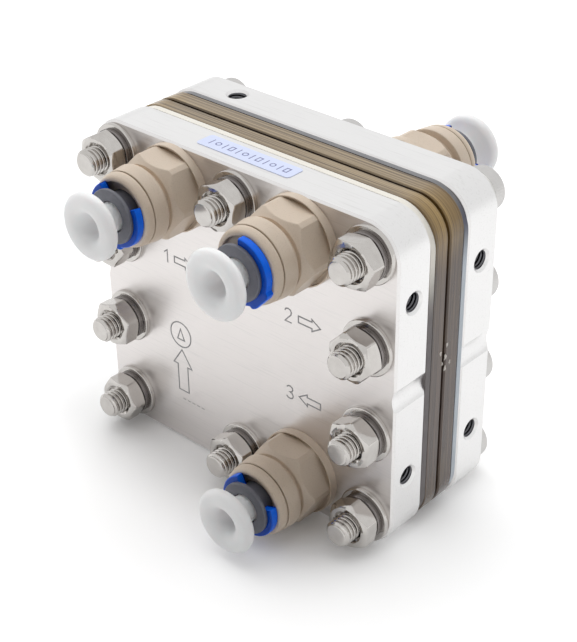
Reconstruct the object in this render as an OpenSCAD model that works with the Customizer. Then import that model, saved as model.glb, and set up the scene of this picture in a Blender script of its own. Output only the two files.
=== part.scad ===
// Electrolyzer cell module: two aluminium end plates clamp a stack of moulded frames, flow plates,
// seals and a membrane with ten tie bolts, and four push-in tube fittings carry water and gas.
// X runs to the right and Z up, and the front face looks towards -Y. The origin is at the middle of
// the bottom edge, half way through the stack.

/* [End plates] */
// Width of both end plates
plate_w = 85; // [80:0.5:110]
// Height of both end plates
plate_h = 77; // [74:0.5:100]
// Thickness of each end plate
plate_t = 10; // [9:0.5:14]
// Radius of the plates' corners
corner_r = 8; // [5:0.5:11]
// Bevel along the plates' edges
edge_bevel = 0.5; // [0.2:0.1:1]
// Height of the shallow scallop in the middle of each side
scallop_h = 5.4; // [3:0.2:10]
// Depth of that scallop
scallop_depth = 0.9; // [0.4:0.1:1.5]

/* [Layers between the plates] */
// Thickness of the sheet behind the front plate
front_sheet_t = 1.5; // [0.8:0.1:2.5]
// Thickness of the front frame, on the hydrogen side
front_frame_t = 4.1; // [3.5:0.1:6]
// Thickness of the rear frame, on the oxygen side
rear_frame_t = 4.4; // [3.5:0.1:6]
// Thickness of the sheet before the rear plate
rear_sheet_t = 1.3; // [0.8:0.1:2.5]
// Thickness of each of the two thin seals
seal_t = 0.3; // [0.2:0.1:0.6]
// Thickness of the membrane
membrane_t = 0.2; // [0.1:0.05:0.3]
// How far the frames stay inside the plates' outline
frame_inset = 0.2; // [0:0.1:0.6]
// How far the seals and the membrane stay inside the plates' outline
seal_inset = 1.2; // [0.8:0.1:2]
// Bevel along the frames' edges
frame_bevel = 0.3; // [0.1:0.1:0.6]

/* [Active area] */
// Width of the window in the frames
window_w = 50; // [36:0.5:54]
// Height of the window in the frames
window_h = 39; // [30:0.5:42]
// Radius of the window's corners
window_r = 3; // [2:0.5:5]
// Thickness of each porous transport layer
transport_t = 0.8; // [0.4:0.1:1.2]
// Number of channels in each flow plate
channel_n = 9; // [5:1:11]
// Width of one channel
channel_w = 2; // [1:0.1:2.4]
// Depth of one channel
channel_depth = 1.2; // [0.6:0.1:2]
// Width of the ducts from the ports to the window
duct_w = 4; // [2.5:0.5:5]
// Depth of those ducts
duct_depth = 2; // [1:0.1:2.5]
// Free space around a piece that sits in the window
window_gap = 0.1; // [0.05:0.05:0.3]

/* [Tie bolts] */
// Thread diameter of the tie bolts
bolt_d = 6; // [5:0.1:6.4]
// Distance from the plates' edges to the bolts' axes
bolt_margin = 7; // [6.5:0.1:8]
// How far the bolts' ends stand out of the front plate
bolt_end = 9.8; // [8.5:0.1:14]
// Diameter of the bolts' heads
head_d = 10; // [9:0.1:12]
// Height of the bolts' heads
head_h = 6; // [5:0.1:7]
// Width across the flats of the heads' sockets
socket_af = 5; // [4:0.1:6]
// Depth of the heads' sockets
socket_depth = 3; // [2:0.1:4]
// Diameter of the holes for the bolts
bolt_hole_d = 7; // [6.9:0.1:7.6]
// Wall of the insulating sleeve around each bolt
sleeve_wall = 0.3; // [0.2:0.05:0.4]
// Free space between a bolt and its sleeve or its nut
bolt_gap = 0.05; // [0.02:0.01:0.1]
// Thickness of the insulating collar under each head
collar_t = 1.4; // [1:0.1:2.5]
// Diameter of the flat washers
washer_d = 12.5; // [11.5:0.1:13]
// Thickness of the front flat washers
front_washer_t = 1; // [0.8:0.1:1.6]
// Thickness of the rear flat washers
rear_washer_t = 1.6; // [0.8:0.1:1.8]
// Outer diameter of the spring washers
spring_d = 10.4; // [9.5:0.1:11]
// Thickness of the spring washers
spring_t = 1.1; // [0.8:0.1:1.6]
// Gap in the spring washers
spring_gap = 0.8; // [0.4:0.1:1.5]
// Width across the flats of the nuts
nut_af = 10; // [9:0.1:10.8]
// Height of the nuts
nut_h = 4.2; // [4:0.1:5.2]
// Diameter of the nuts' flat ends
nut_face_d = 9.4; // [8:0.1:9.9]
// Length by which the nuts' corners are turned down
nut_chamfer = 0.7; // [0.2:0.05:1]

/* [Screw holes in the plates' edges] */
// Diameter of the tapped holes
tap_d = 4.2; // [3.3:0.1:5]
// Depth of the tapped holes
tap_depth = 12; // [6:0.5:16]
// Diameter of the countersinks at their mouths
tap_mouth_d = 5.3; // [5.1:0.1:6]
// Height of the side holes above and below the middle of the plates
side_hole_z = 21; // [16:0.5:21.5]
// Distance of the rear plate's top hole from its middle, to the left
top_hole_x = 25.3; // [24:0.1:27]

/* [Ports] */
// Distance of the ports from the middle of the plates
port_x = 17.7; // [17:0.1:18.5]
// Distance of the ports from the top or bottom edge
port_margin = 10; // [9.9:0.1:10.5]
// Diameter of the fittings' threads
thread_d = 13; // [12:0.1:13.2]
// Length of the fittings' threads
thread_l = 8; // [6:0.5:8.5]
// Free space around the fittings' threads
thread_gap = 0.1; // [0.05:0.05:0.2]
// Diameter of the passages through the layers
passage_d = 4.5; // [3:0.1:5]

/* [Push-in fittings] */
// Diameter of the flange on the plate
flange_d = 19.6; // [18.5:0.1:19.8]
// Thickness of that flange
flange_t = 2; // [1.8:0.1:2.6]
// Width across the flats of the hexagon
hex_af = 17; // [16.5:0.1:17.4]
// Distance from the plate to the end of the hexagon
hex_end = 9.4; // [8.5:0.1:10.4]
// Diameter of the round barrel in front of the hexagon
barrel_d = 17.2; // [16.4:0.1:17.6]
// Distance from the plate to the end of the barrel
barrel_end = 13.6; // [12.6:0.1:14.6]
// Taper of the barrel over its length
barrel_taper = 0.6; // [0:0.1:1]
// Visible gap between the barrel and the end cap
cap_seam = 0.3; // [0.1:0.05:0.5]
// Height of the end cap beyond that gap
cap_h = 2; // [1.6:0.1:3]
// Diameter of the end cap
cap_d = 16.4; // [15.6:0.1:16.6]
// Diameter of the cap's sleeve inside the barrel
spigot_d = 12.8; // [12:0.1:13.2]
// Length of that sleeve
spigot_l = 3; // [2:0.1:3.6]
// Distance of the collet's foot and of its widest ring from the sleeve's end
barb_set = 0.6; // [0.4:0.1:0.8]
// Length of the cone in front of that ring
barb_l = 1; // [0.6:0.1:1.2]
// Distance of the cap's straight mouth from the sleeve's end
mouth_set = 2; // [1.8:0.1:2.2]
// Length of the hexagon's turned shoulder
shoulder_l = 2.1; // [1:0.1:3]
// Diameter of the water passage
bore_d = 4.4; // [3:0.1:5]
// Outer diameter of the tube that the fitting takes
tube_d = 6.35; // [6:0.05:6.5]
// Free space around the tube
tube_gap = 0.08; // [0.04:0.01:0.15]
// Outer diameter of the collet's tube
collet_d = 8.8; // [8.4:0.1:9.2]
// Diameter of the collet's release flange
collet_flange_d = 12; // [11:0.1:13]
// Thickness of that flange
collet_flange_t = 0.9; // [0.7:0.1:1.4]
// Free space around the collet in the cap
collet_gap = 0.15; // [0.05:0.05:0.3]
// Depth of the cap's recess around the collet
cap_recess = 1.3; // [0.6:0.1:1.4]
// Width of the cap's rim around that recess
cap_rim_w = 1.5; // [1.3:0.1:1.8]
// Outer diameter of the locking clip
clip_d = 14.4; // [13:0.1:15]
// Thickness of the locking clip
clip_t = 1.8; // [1.2:0.1:2.4]
// Angle of the locking clip's mouth
clip_mouth = 84; // [60:1:110]
// Width of the locking clip's finger tab
clip_tab_w = 6.5; // [4:0.1:8]
// How far that tab stands out of the clip
clip_tab_out = 1.2; // [0.4:0.1:1.6]
// Free space on each side of the locking clip
clip_gap = 0.05; // [0.02:0.01:0.1]

/* [Blanking plugs] */
// Diameter of the plugs' round heads
plug_head_d = 14.9; // [13:0.1:16.5]
// Distance from the plate to the front of the plugs' heads
plug_end = 25.4; // [24:0.1:27]
// Thickness of the head's rim
plug_rim_t = 2.8; // [1.6:0.1:3.2]
// Length of the flare behind the head
plug_flare_l = 1.6; // [1:0.1:2]
// Diameter at which the head's face starts to curve into its hollow
crest_d = 10; // [9:0.1:11]
// Width of the curve into the hollow
lip_w = 2.3; // [1.5:0.1:2.5]
// Depth of that curve
lip_depth = 2.2; // [1:0.1:3]
// Depth of the cone below it
hollow_depth = 2.4; // [1:0.1:3]
// Diameter of the hole below the cone
hollow_bore_d = 4.2; // [3:0.1:4.6]

/* [Small parts] */
// Thickness of the O-ring under each flange
port_ring_t = 1.2; // [0.8:0.1:1.3]
// Thickness of the O-ring around each tube
tube_ring_t = 1.5; // [1.2:0.05:1.55]
// Width of the paper label
label_w = 26; // [10:0.5:30]
// Depth of the paper label
label_h = 5; // [3:0.1:5.5]
// Thickness of the paper label
label_t = 0.1; // [0.05:0.05:0.3]
// How far the label's middle lies to the left of the plate's middle
label_shift = 1.4; // [0:0.1:6]

/* [Hidden] */
$fn = 64;

// Places of the layers, each the front face of its layer
core_t = 2 * seal_t + membrane_t;
stack_t = 2 * plate_t + front_sheet_t + front_frame_t + core_t + rear_frame_t + rear_sheet_t;
y_front = -stack_t / 2;
y_front_sheet = y_front + plate_t;
y_front_frame = y_front_sheet + front_sheet_t;
y_front_seal = y_front_frame + front_frame_t;
y_membrane = y_front_seal + seal_t;
y_rear_seal = y_membrane + membrane_t;
y_rear_frame = y_rear_seal + seal_t;
y_rear_sheet = y_rear_frame + rear_frame_t;
y_rear_plate = y_rear_sheet + rear_sheet_t;
y_back = y_rear_plate + plate_t;
plate_mid_z = plate_h / 2;

// Bolts: four in each side column, one at the middle of the top and one at the middle of the bottom
bolt_x = plate_w / 2 - bolt_margin;
bolt_pitch = (plate_h - 2 * bolt_margin) / 3;
bolt_places = concat(
    [for (side = [-1, 1]) for (row = [0:3]) [side * bolt_x, bolt_margin + row * bolt_pitch]],
    [[0, bolt_margin], [0, plate_h - bolt_margin]]
);
// Turn of each nut, in the same order
nut_turns = [58, 79, 51, 90, 84, 85, 47, 67, 89, 83];
y_bolt_end = y_front - bolt_end;
y_head = y_back + collar_t + rear_washer_t;

// Ports: x, z, side (-1 front, 1 rear), turn of the hexagon, turn of the locking clip's mouth
upper_left = [-port_x, plate_h - port_margin, -1, -8, 69];
upper_right = [port_x, plate_h - port_margin, -1, -8, 132];
lower = [port_x, port_margin, -1, -1, 62];
rear = [port_x, plate_h - port_margin, 1, 12, 312];
port_places = [upper_left, upper_right, lower, rear];

// Distances along a fitting's axis, counted from the plate's face
socket_floor = 1;
ring_floor = 6.2;
cap_start = barrel_end + cap_seam;
cap_face = cap_start + cap_h;
spigot_start = barrel_end - spigot_l;
clip_start = cap_face + clip_gap;
collet_flange_start = clip_start + clip_t + clip_gap;
collet_face = collet_flange_start + collet_flange_t;
collet_start = spigot_start - barb_set;
barb_start = spigot_start + barb_set;
barb_end = barb_start + barb_l;
mouth_start = spigot_start + mouth_set;
tube_hole_r = tube_d / 2 + tube_gap;
plug_head_start = plug_end - plug_rim_t;
over = 1;

// A layer of the stack: its 2D shape (x to the right, z up) from y over its thickness
module layer(y, t) {
    translate([0, y + t, 0])
        rotate([90, 0, 0])
            linear_extrude(height = t)
                children();
}

// Rounded rectangle about the middle of the plates
module rounded_outline(w, h, r) {
    translate([-w / 2 + r, plate_mid_z - h / 2])
        square([w - 2 * r, h]);
    translate([-w / 2, plate_mid_z - h / 2 + r])
        square([w, h - 2 * r]);
    for (x = [-1, 1])
        for (z = [-1, 1])
            translate([x * (w / 2 - r), plate_mid_z + z * (h / 2 - r)])
                circle(r = r);
}

// Rounded plate with a bevel along both of its outlines
module bevelled_plate(y, w, h, r, t, bevel) {
    for (x = [-1, 1])
        for (z = [-1, 1])
            translate([x * (w / 2 - r), y, plate_mid_z + z * (h / 2 - r)])
                rotate([-90, 0, 0])
                    rotate_extrude()
                        polygon([[0, 0], [r - bevel, 0], [r, bevel], [r, t - bevel], [r - bevel, t], [0, t]]);
    translate([-w / 2 + r, y, plate_mid_z])
        rotate([90, 0, 90])
            linear_extrude(height = w - 2 * r)
                bevelled_section(h, t, bevel);
    translate([0, y, plate_mid_z - h / 2 + r])
        linear_extrude(height = h - 2 * r)
            rotate(-90)
                mirror([1, 0])
                    bevelled_section(w, t, bevel);
}

// Cross section of a bevelled plate: its thickness along x, its width along y
module bevelled_section(width, t, bevel) {
    half = width / 2;
    polygon([
        [0, -half + bevel], [bevel, -half], [t - bevel, -half], [t, -half + bevel],
        [t, half - bevel], [t - bevel, half], [bevel, half], [0, half - bevel]
    ]);
}

// Round cutter along Y
module bore_y(x, z, y, t, d) {
    translate([x, y - over, z])
        rotate([-90, 0, 0])
            cylinder(d = d, h = t + 2 * over);
}

// The ten bolt holes through a layer
module bolt_holes(y, t) {
    for (p = bolt_places)
        bore_y(p[0], p[1], y, t, bolt_hole_d);
}

// A tapped hole with a countersunk mouth, cut downwards from the origin
module tapped_hole() {
    sink = (tap_mouth_d - tap_d) / 2;
    rotate_extrude()
        polygon([
            [0, over], [tap_mouth_d / 2, over], [tap_mouth_d / 2, 0], [tap_d / 2, -sink],
            [tap_d / 2, -tap_depth], [0, -tap_depth - tap_d / 4]
        ]);
}

// What both end plates share: bevelled edges, bolt holes, side scallops and tapped side holes
module end_plate_blank(y) {
    scallop_r = (pow(scallop_h / 2, 2) + pow(scallop_depth, 2)) / (2 * scallop_depth);
    difference() {
        bevelled_plate(y, plate_w, plate_h, corner_r, plate_t, edge_bevel);
        bolt_holes(y, plate_t);
        for (side = [-1, 1]) {
            bore_y(side * (plate_w / 2 - scallop_depth + scallop_r), plate_mid_z, y, plate_t, 2 * scallop_r);
            for (z = [-1, 1])
                translate([side * plate_w / 2, y + plate_t / 2, plate_mid_z + z * side_hole_z])
                    rotate([0, side * 90, 0])
                        tapped_hole();
        }
    }
}

module front_end_plate() {
    color("gainsboro")
        difference() {
            end_plate_blank(y_front);
            for (p = [upper_left, upper_right, lower])
                bore_y(p[0], p[1], y_front, plate_t, thread_d + 2 * thread_gap);
        }
}

module rear_end_plate() {
    color("gainsboro")
        difference() {
            end_plate_blank(y_rear_plate);
            bore_y(rear[0], rear[1], y_rear_plate, plate_t, thread_d + 2 * thread_gap);
            translate([-top_hole_x, y_rear_plate + plate_t / 2, plate_h])
                tapped_hole();
        }
}

// Thin flat layer with the window, the bolt holes and the passages that it is given
module thin_sheet(y, t, inset, passages) {
    difference() {
        layer(y, t)
            rounded_outline(plate_w - 2 * inset, plate_h - 2 * inset, corner_r + 1);
        layer(y - over, t + 2 * over)
            rounded_outline(window_w, window_h, window_r);
        bolt_holes(y, t);
        for (p = passages)
            bore_y(p[0], p[1], y, t, passage_d);
    }
}

module front_sheet() {
    color("antiquewhite")
        thin_sheet(y_front_sheet, front_sheet_t, frame_inset, [upper_left, upper_right, lower]);
}

module rear_sheet() {
    color("lightsteelblue")
        thin_sheet(y_rear_sheet, rear_sheet_t, frame_inset, [rear]);
}

module front_seal() {
    color("dimgray")
        thin_sheet(y_front_seal, seal_t, seal_inset, [upper_left, lower]);
}

module rear_seal() {
    color("dimgray")
        thin_sheet(y_rear_seal, seal_t, seal_inset, [upper_left, lower]);
}

module membrane() {
    color("black")
        difference() {
            layer(y_membrane, membrane_t)
                rounded_outline(plate_w - 2 * seal_inset, plate_h - 2 * seal_inset, corner_r + 1);
            bolt_holes(y_membrane, membrane_t);
            for (p = [upper_left, lower])
                bore_y(p[0], p[1], y_membrane, membrane_t, passage_d);
        }
}

// Duct from a port to the window, cut into one face of a frame
module duct(p, y) {
    window_edge = plate_mid_z + sign(p[1] - plate_mid_z) * window_h / 2;
    reach = abs(p[1] - window_edge) + over;
    low = p[1] > plate_mid_z ? p[1] - reach : p[1];
    translate([p[0] - duct_w / 2, y, low])
        cube([duct_w, duct_depth, reach]);
    translate([p[0], y, p[1]])
        rotate([-90, 0, 0])
            cylinder(d = duct_w, h = duct_depth);
}

// Moulded frame: window, bolt holes and passages
module frame_blank(y, t) {
    difference() {
        bevelled_plate(y, plate_w - 2 * frame_inset, plate_h - 2 * frame_inset, corner_r, t, frame_bevel);
        layer(y - over, t + 2 * over)
            rounded_outline(window_w, window_h, window_r);
        bolt_holes(y, t);
    }
}

module front_frame() {
    color("peru")
        difference() {
            frame_blank(y_front_frame, front_frame_t);
            for (p = [upper_left, lower])
                bore_y(p[0], p[1], y_front_frame, front_frame_t, passage_d);
            translate([upper_right[0], y_front_frame - over, upper_right[1]])
                rotate([-90, 0, 0])
                    cylinder(d = passage_d, h = over + front_frame_t - duct_depth / 2);
            duct(upper_right, y_front_seal - duct_depth);
        }
}

module rear_frame() {
    color("peru")
        difference() {
            frame_blank(y_rear_frame, rear_frame_t);
            bore_y(rear[0], rear[1], y_rear_frame + duct_depth, rear_frame_t - duct_depth, passage_d);
            for (p = [upper_left, lower, rear])
                duct(p, y_rear_frame);
        }
}

// Flow plate: channels run up and down its inner face, joined at both ends by a cross channel
module flow_plate(y, t, channel_y) {
    w = window_w - 2 * window_gap;
    h = window_h - 2 * window_gap;
    land = (w - channel_n * channel_w) / (channel_n + 1);
    difference() {
        layer(y, t)
            rounded_outline(w, h, window_r - window_gap);
        for (i = [0:channel_n - 1])
            translate([-w / 2 + land + i * (channel_w + land), channel_y, plate_mid_z - h / 2 + land])
                cube([channel_w, channel_depth, h - 2 * land]);
        for (z = [plate_mid_z - h / 2 - over, plate_mid_z + h / 2 - land - channel_w])
            translate([-w / 2 + land, channel_y, z])
                cube([w - 2 * land, channel_depth, land + channel_w + over]);
    }
}

module front_flow_plate() {
    t = front_sheet_t + front_frame_t + seal_t - transport_t;
    color("slategray")
        flow_plate(y_front_sheet, t, y_front_sheet + t - channel_depth);
}

module rear_flow_plate() {
    t = rear_sheet_t + rear_frame_t + seal_t - transport_t;
    color("slategray")
        flow_plate(y_rear_plate - t, t, y_rear_plate - t);
}

module transport_layer(y) {
    layer(y, transport_t)
        rounded_outline(window_w - 2 * window_gap, window_h - 2 * window_gap, window_r - window_gap);
}

module front_transport_layer() {
    color("darkslategray")
        transport_layer(y_membrane - transport_t);
}

module rear_transport_layer() {
    color("darkgray")
        transport_layer(y_rear_seal);
}

// Socket-head bolt, drawn from its head forwards to its end
module tie_bolt() {
    chamfer = bolt_d / 10;
    head_chamfer = head_h / 15;
    difference() {
        rotate([-90, 0, 0])
            rotate_extrude()
                polygon([
                    [0, y_bolt_end], [bolt_d / 2 - chamfer, y_bolt_end], [bolt_d / 2, y_bolt_end + chamfer],
                    [bolt_d / 2, y_head], [head_d / 2, y_head], [head_d / 2, y_head + head_h - head_chamfer],
                    [head_d / 2 - head_chamfer, y_head + head_h], [0, y_head + head_h]
                ]);
        translate([0, y_head + head_h - socket_depth, 0])
            rotate([-90, 0, 0])
                cylinder(d = socket_af / cos(30), h = socket_depth + over, $fn = 6);
    }
}

module tie_bolts() {
    color("silver")
        for (p = bolt_places)
            translate([p[0], 0, p[1]])
                tie_bolt();
}

// Ring along Y
module ring(y, t, outer_d, inner_d) {
    translate([0, y, 0])
        rotate([-90, 0, 0])
            difference() {
                cylinder(d = outer_d, h = t);
                translate([0, 0, -over])
                    cylinder(d = inner_d, h = t + 2 * over);
            }
}

// Insulating sleeve with a collar under the bolt's head
module insulating_bushes() {
    inner_d = bolt_d + 2 * bolt_gap;
    color("ivory")
        for (p = bolt_places)
            translate([p[0], 0, p[1]])
                union() {
                    ring(y_front, stack_t, inner_d + 2 * sleeve_wall, inner_d);
                    ring(y_back, collar_t, washer_d, inner_d);
                }
}

module rear_washers() {
    color("lightgray")
        for (p = bolt_places)
            translate([p[0], 0, p[1]])
                ring(y_back + collar_t, rear_washer_t, washer_d, bolt_d + 4 * bolt_gap);
}

module front_washers() {
    color("lightgray")
        for (p = bolt_places)
            translate([p[0], 0, p[1]])
                ring(y_front - front_washer_t, front_washer_t, washer_d, bolt_d + 4 * bolt_gap);
}

// Split spring washers, each turned a little further than the one before
module spring_washers() {
    y = y_front - front_washer_t - spring_t;
    color("silver")
        for (i = [0:len(bolt_places) - 1])
            translate([bolt_places[i][0], 0, bolt_places[i][1]])
                rotate([0, 47 * i, 0])
                    difference() {
                        ring(y, spring_t, spring_d, bolt_d + 4 * bolt_gap);
                        translate([0, y + spring_t / 2, 0])
                            rotate([0, 0, 25])
                                translate([-spring_gap / 2, -2 * spring_t, 0])
                                    cube([spring_gap, 4 * spring_t, spring_d]);
                    }
}

// Hexagon nuts with both ends turned down at the corners
module tie_nuts() {
    y = y_front - front_washer_t - spring_t - nut_h;
    across_corners = nut_af / cos(30);
    color("silver")
        for (i = [0:len(bolt_places) - 1])
            translate([bolt_places[i][0], y, bolt_places[i][1]])
                rotate([-90, -nut_turns[i], 0])
                    difference() {
                        intersection() {
                            cylinder(d = across_corners, h = nut_h, $fn = 6);
                            rotate_extrude()
                                polygon([
                                    [0, 0], [nut_face_d / 2, 0], [across_corners / 2, nut_chamfer],
                                    [across_corners / 2, nut_h - nut_chamfer],
                                    [nut_face_d / 2, nut_h], [0, nut_h]
                                ]);
                        }
                        translate([0, 0, -over])
                            cylinder(d = bolt_d + 2 * bolt_gap, h = nut_h + 2 * over);
                    }
}

// Puts a piece on a port: its own Z axis points away from the plate
module at_port(p) {
    translate([p[0], p[2] < 0 ? y_front : y_back, p[1]])
        rotate([p[2] < 0 ? 90 : -90, 0, 0])
            children();
}

// Body of a fitting: thread, flange, hexagon with a turned front, and tapering barrel
module fitting_body(p) {
    thread_r = thread_d / 2;
    flange_r = flange_d / 2;
    barrel_r = barrel_d / 2;
    neck_r = barrel_r - 0.4;
    corner = hex_af / 2 / cos(30);
    corner_r_turned = flange_r - 0.15;
    ring_r = tube_ring_t + tube_d / 2;
    color("tan")
        at_port(p)
            difference() {
                union() {
                    rotate_extrude()
                        polygon([
                            [0, -thread_l], [thread_r - 0.6, -thread_l], [thread_r, -thread_l + 0.6],
                            [thread_r, 0], [flange_r - 0.2, 0], [flange_r, 0.2], [flange_r, flange_t - 0.1],
                            [flange_r - 0.1, flange_t], [neck_r, flange_t], [neck_r, hex_end + 0.3],
                            [barrel_r, hex_end + 0.7], [barrel_r, hex_end + 1.2],
                            [barrel_r - barrel_taper / 2, barrel_end], [0, barrel_end]
                        ]);
                    intersection() {
                        rotate([0, 0, p[3]])
                            translate([0, 0, flange_t - 0.2])
                                cylinder(r = corner, h = hex_end - flange_t + 0.2, $fn = 6);
                        rotate_extrude()
                            polygon([
                                [0, 0], [corner_r_turned, 0], [corner_r_turned, hex_end - shoulder_l],
                                [neck_r, hex_end], [0, hex_end]
                            ]);
                    }
                }
                rotate_extrude()
                    polygon([
                        [0, -thread_l - over], [bore_d / 2, -thread_l - over], [bore_d / 2, socket_floor],
                        [tube_hole_r, socket_floor], [tube_hole_r, ring_floor], [ring_r, ring_floor],
                        [ring_r, spigot_start], [spigot_d / 2 + tube_gap, spigot_start],
                        [spigot_d / 2 + tube_gap, barrel_end + over], [0, barrel_end + over]
                    ]);
                rotate_extrude()
                    polygon([
                        [thread_r - over, -over], [thread_r + port_ring_t + 0.3, -over],
                        [thread_r + port_ring_t + 0.3, port_ring_t], [thread_r, port_ring_t],
                        [thread_r, 0], [thread_r - over, 0]
                    ]);
            }
}

// End cap: a sleeve inside the barrel and a rounded rim that holds the collet
module fitting_cap(p) {
    cap_r = cap_d / 2;
    mouth_r = collet_d / 2 + collet_gap;
    recess_r = cap_r - cap_rim_w;
    color("tan")
        at_port(p)
            rotate_extrude()
                polygon([
                    [mouth_r + 0.7, spigot_start], [spigot_d / 2, spigot_start], [spigot_d / 2, cap_start],
                    [cap_r, cap_start], [cap_r, cap_start + cap_h / 3], [cap_r - 0.3, cap_face - 0.4],
                    [cap_r - 0.7, cap_face], [recess_r, cap_face], [recess_r, cap_face - cap_recess],
                    [mouth_r, cap_face - cap_recess], [mouth_r, mouth_start]
                ]);
}

// Collet: a slit tube with gripping fingers inside and a release flange outside
module collet(p) {
    outer_r = collet_d / 2;
    flange_r = collet_flange_d / 2;
    color("dimgray")
        at_port(p)
            difference() {
                rotate_extrude()
                    polygon([
                        [tube_hole_r, collet_start], [outer_r + 0.4, collet_start],
                        [outer_r + 0.6, barb_start], [outer_r, barb_end],
                        [outer_r, collet_flange_start], [flange_r - 0.2, collet_flange_start],
                        [flange_r, collet_flange_start + 0.2], [flange_r, collet_face - 0.3],
                        [flange_r - 0.3, collet_face], [tube_hole_r + 0.4, collet_face],
                        [tube_hole_r, collet_face - 0.4]
                    ]);
                for (a = [0, 90])
                    rotate([0, 0, a])
                        translate([-outer_r - over, -0.4, collet_start - over])
                            cube([2 * (outer_r + over), 0.8, barrel_end - collet_start + over]);
            }
}

// Locking clip: a flat ring with a mouth, and a finger tab opposite the mouth
module locking_clip(p) {
    inner_r = collet_d / 2 + collet_gap;
    outer_r = clip_d / 2;
    color("royalblue")
        at_port(p)
            translate([0, 0, clip_start])
                rotate([0, 0, p[4]])
                    linear_extrude(height = clip_t)
                        difference() {
                            union() {
                                circle(r = outer_r);
                                translate([-outer_r - clip_tab_out, -clip_tab_w / 2])
                                    square([outer_r, clip_tab_w]);
                            }
                            circle(r = inner_r);
                            polygon([
                                [0, 0], 2 * outer_r * [cos(clip_mouth / 2), -sin(clip_mouth / 2)],
                                2 * outer_r * [cos(clip_mouth / 2), sin(clip_mouth / 2)]
                            ]);
                        }
}

// Blanking plug: a stem in the collet, a flare and a thick round head that curves into a hollow
module blanking_plug(p) {
    stem_r = tube_d / 2;
    head_r = plug_head_d / 2;
    rim_r = plug_rim_t / 2;
    flare_start = plug_head_start - plug_flare_l;
    crest_r = crest_d / 2;
    lip_end = plug_end - lip_depth;
    cone_end = lip_end - hollow_depth;
    color("white")
        at_port(p)
            rotate_extrude()
                difference() {
                    union() {
                        polygon(concat(
                            [[0, socket_floor + 0.3], [stem_r - 0.5, socket_floor + 0.3],
                             [stem_r, socket_floor + 0.8], [stem_r, flare_start]],
                            [for (a = [15:15:75])
                                [stem_r + (head_r - rim_r - stem_r) * (1 - cos(a)),
                                 flare_start + plug_flare_l * sin(a)]],
                            [[head_r - rim_r, plug_head_start], [head_r - rim_r, plug_end], [0, plug_end]]
                        ));
                        translate([head_r - rim_r, plug_head_start + rim_r])
                            circle(r = rim_r, $fn = 24);
                    }
                    polygon(concat(
                        [[0, plug_end + over], [crest_r, plug_end + over]],
                        [for (a = [0:15:90])
                            [crest_r - lip_w * sin(a), lip_end + lip_depth * cos(a)]],
                        [[hollow_bore_d / 2, cone_end], [hollow_bore_d / 2, barrel_end], [0, barrel_end]]
                    ));
                }
}

// O-rings between the flanges and the plates
module port_o_rings() {
    color("black")
        for (p = port_places)
            at_port(p)
                rotate_extrude()
                    translate([thread_d / 2 + 0.15 + port_ring_t / 2, port_ring_t / 2])
                        circle(d = port_ring_t, $fn = 24);
}

// O-rings around the tubes, inside the bodies
module tube_o_rings() {
    color("black")
        for (p = port_places)
            at_port(p)
                rotate_extrude()
                    translate([tube_d / 2 + tube_ring_t / 2, ring_floor + tube_ring_t / 2 + 0.1])
                        circle(d = tube_ring_t - 0.05, $fn = 24);
}

module paper_label() {
    edge = 3.1;
    r = 0.9;
    color("lavender")
        translate([-label_shift - label_w / 2, y_front + edge, plate_h])
            linear_extrude(height = label_t)
                union() {
                    translate([r, 0])
                        square([label_w - 2 * r, label_h]);
                    translate([0, r])
                        square([label_w, label_h - 2 * r]);
                    for (x = [r, label_w - r])
                        for (y = [r, label_h - r])
                            translate([x, y])
                                circle(r = r, $fn = 24);
                }
}

front_end_plate();
rear_end_plate();
front_sheet();
rear_sheet();
front_frame();
rear_frame();
front_seal();
rear_seal();
membrane();
front_flow_plate();
rear_flow_plate();
front_transport_layer();
rear_transport_layer();
tie_bolts();
insulating_bushes();
rear_washers();
front_washers();
spring_washers();
tie_nuts();
port_o_rings();
tube_o_rings();
fitting_body(upper_left);  // upper_left_fitting_body
fitting_body(upper_right);  // upper_right_fitting_body
fitting_body(lower);  // lower_fitting_body
fitting_body(rear);  // rear_fitting_body
fitting_cap(upper_left);  // upper_left_fitting_cap
fitting_cap(upper_right);  // upper_right_fitting_cap
fitting_cap(lower);  // lower_fitting_cap
fitting_cap(rear);  // rear_fitting_cap
collet(upper_left);  // upper_left_collet
collet(upper_right);  // upper_right_collet
collet(lower);  // lower_collet
collet(rear);  // rear_collet
locking_clip(upper_left);  // upper_left_locking_clip
locking_clip(upper_right);  // upper_right_locking_clip
locking_clip(lower);  // lower_locking_clip
locking_clip(rear);  // rear_locking_clip
blanking_plug(upper_left);  // upper_left_plug
blanking_plug(upper_right);  // upper_right_plug
blanking_plug(lower);  // lower_plug
blanking_plug(rear);  // rear_plug
paper_label();
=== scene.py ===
"""Dresses the electrolyzer cell module: threads, knurls, moulded fittings, plugs, marks and materials.

Sizes are in millimetres and are turned into metres by MM. Places come from the CAD nodes' boxes, and
heights along a bolt or fitting start at the face of the plate that it stands on.
"""
import math

import bpy
from mathutils import Matrix, Vector


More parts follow.
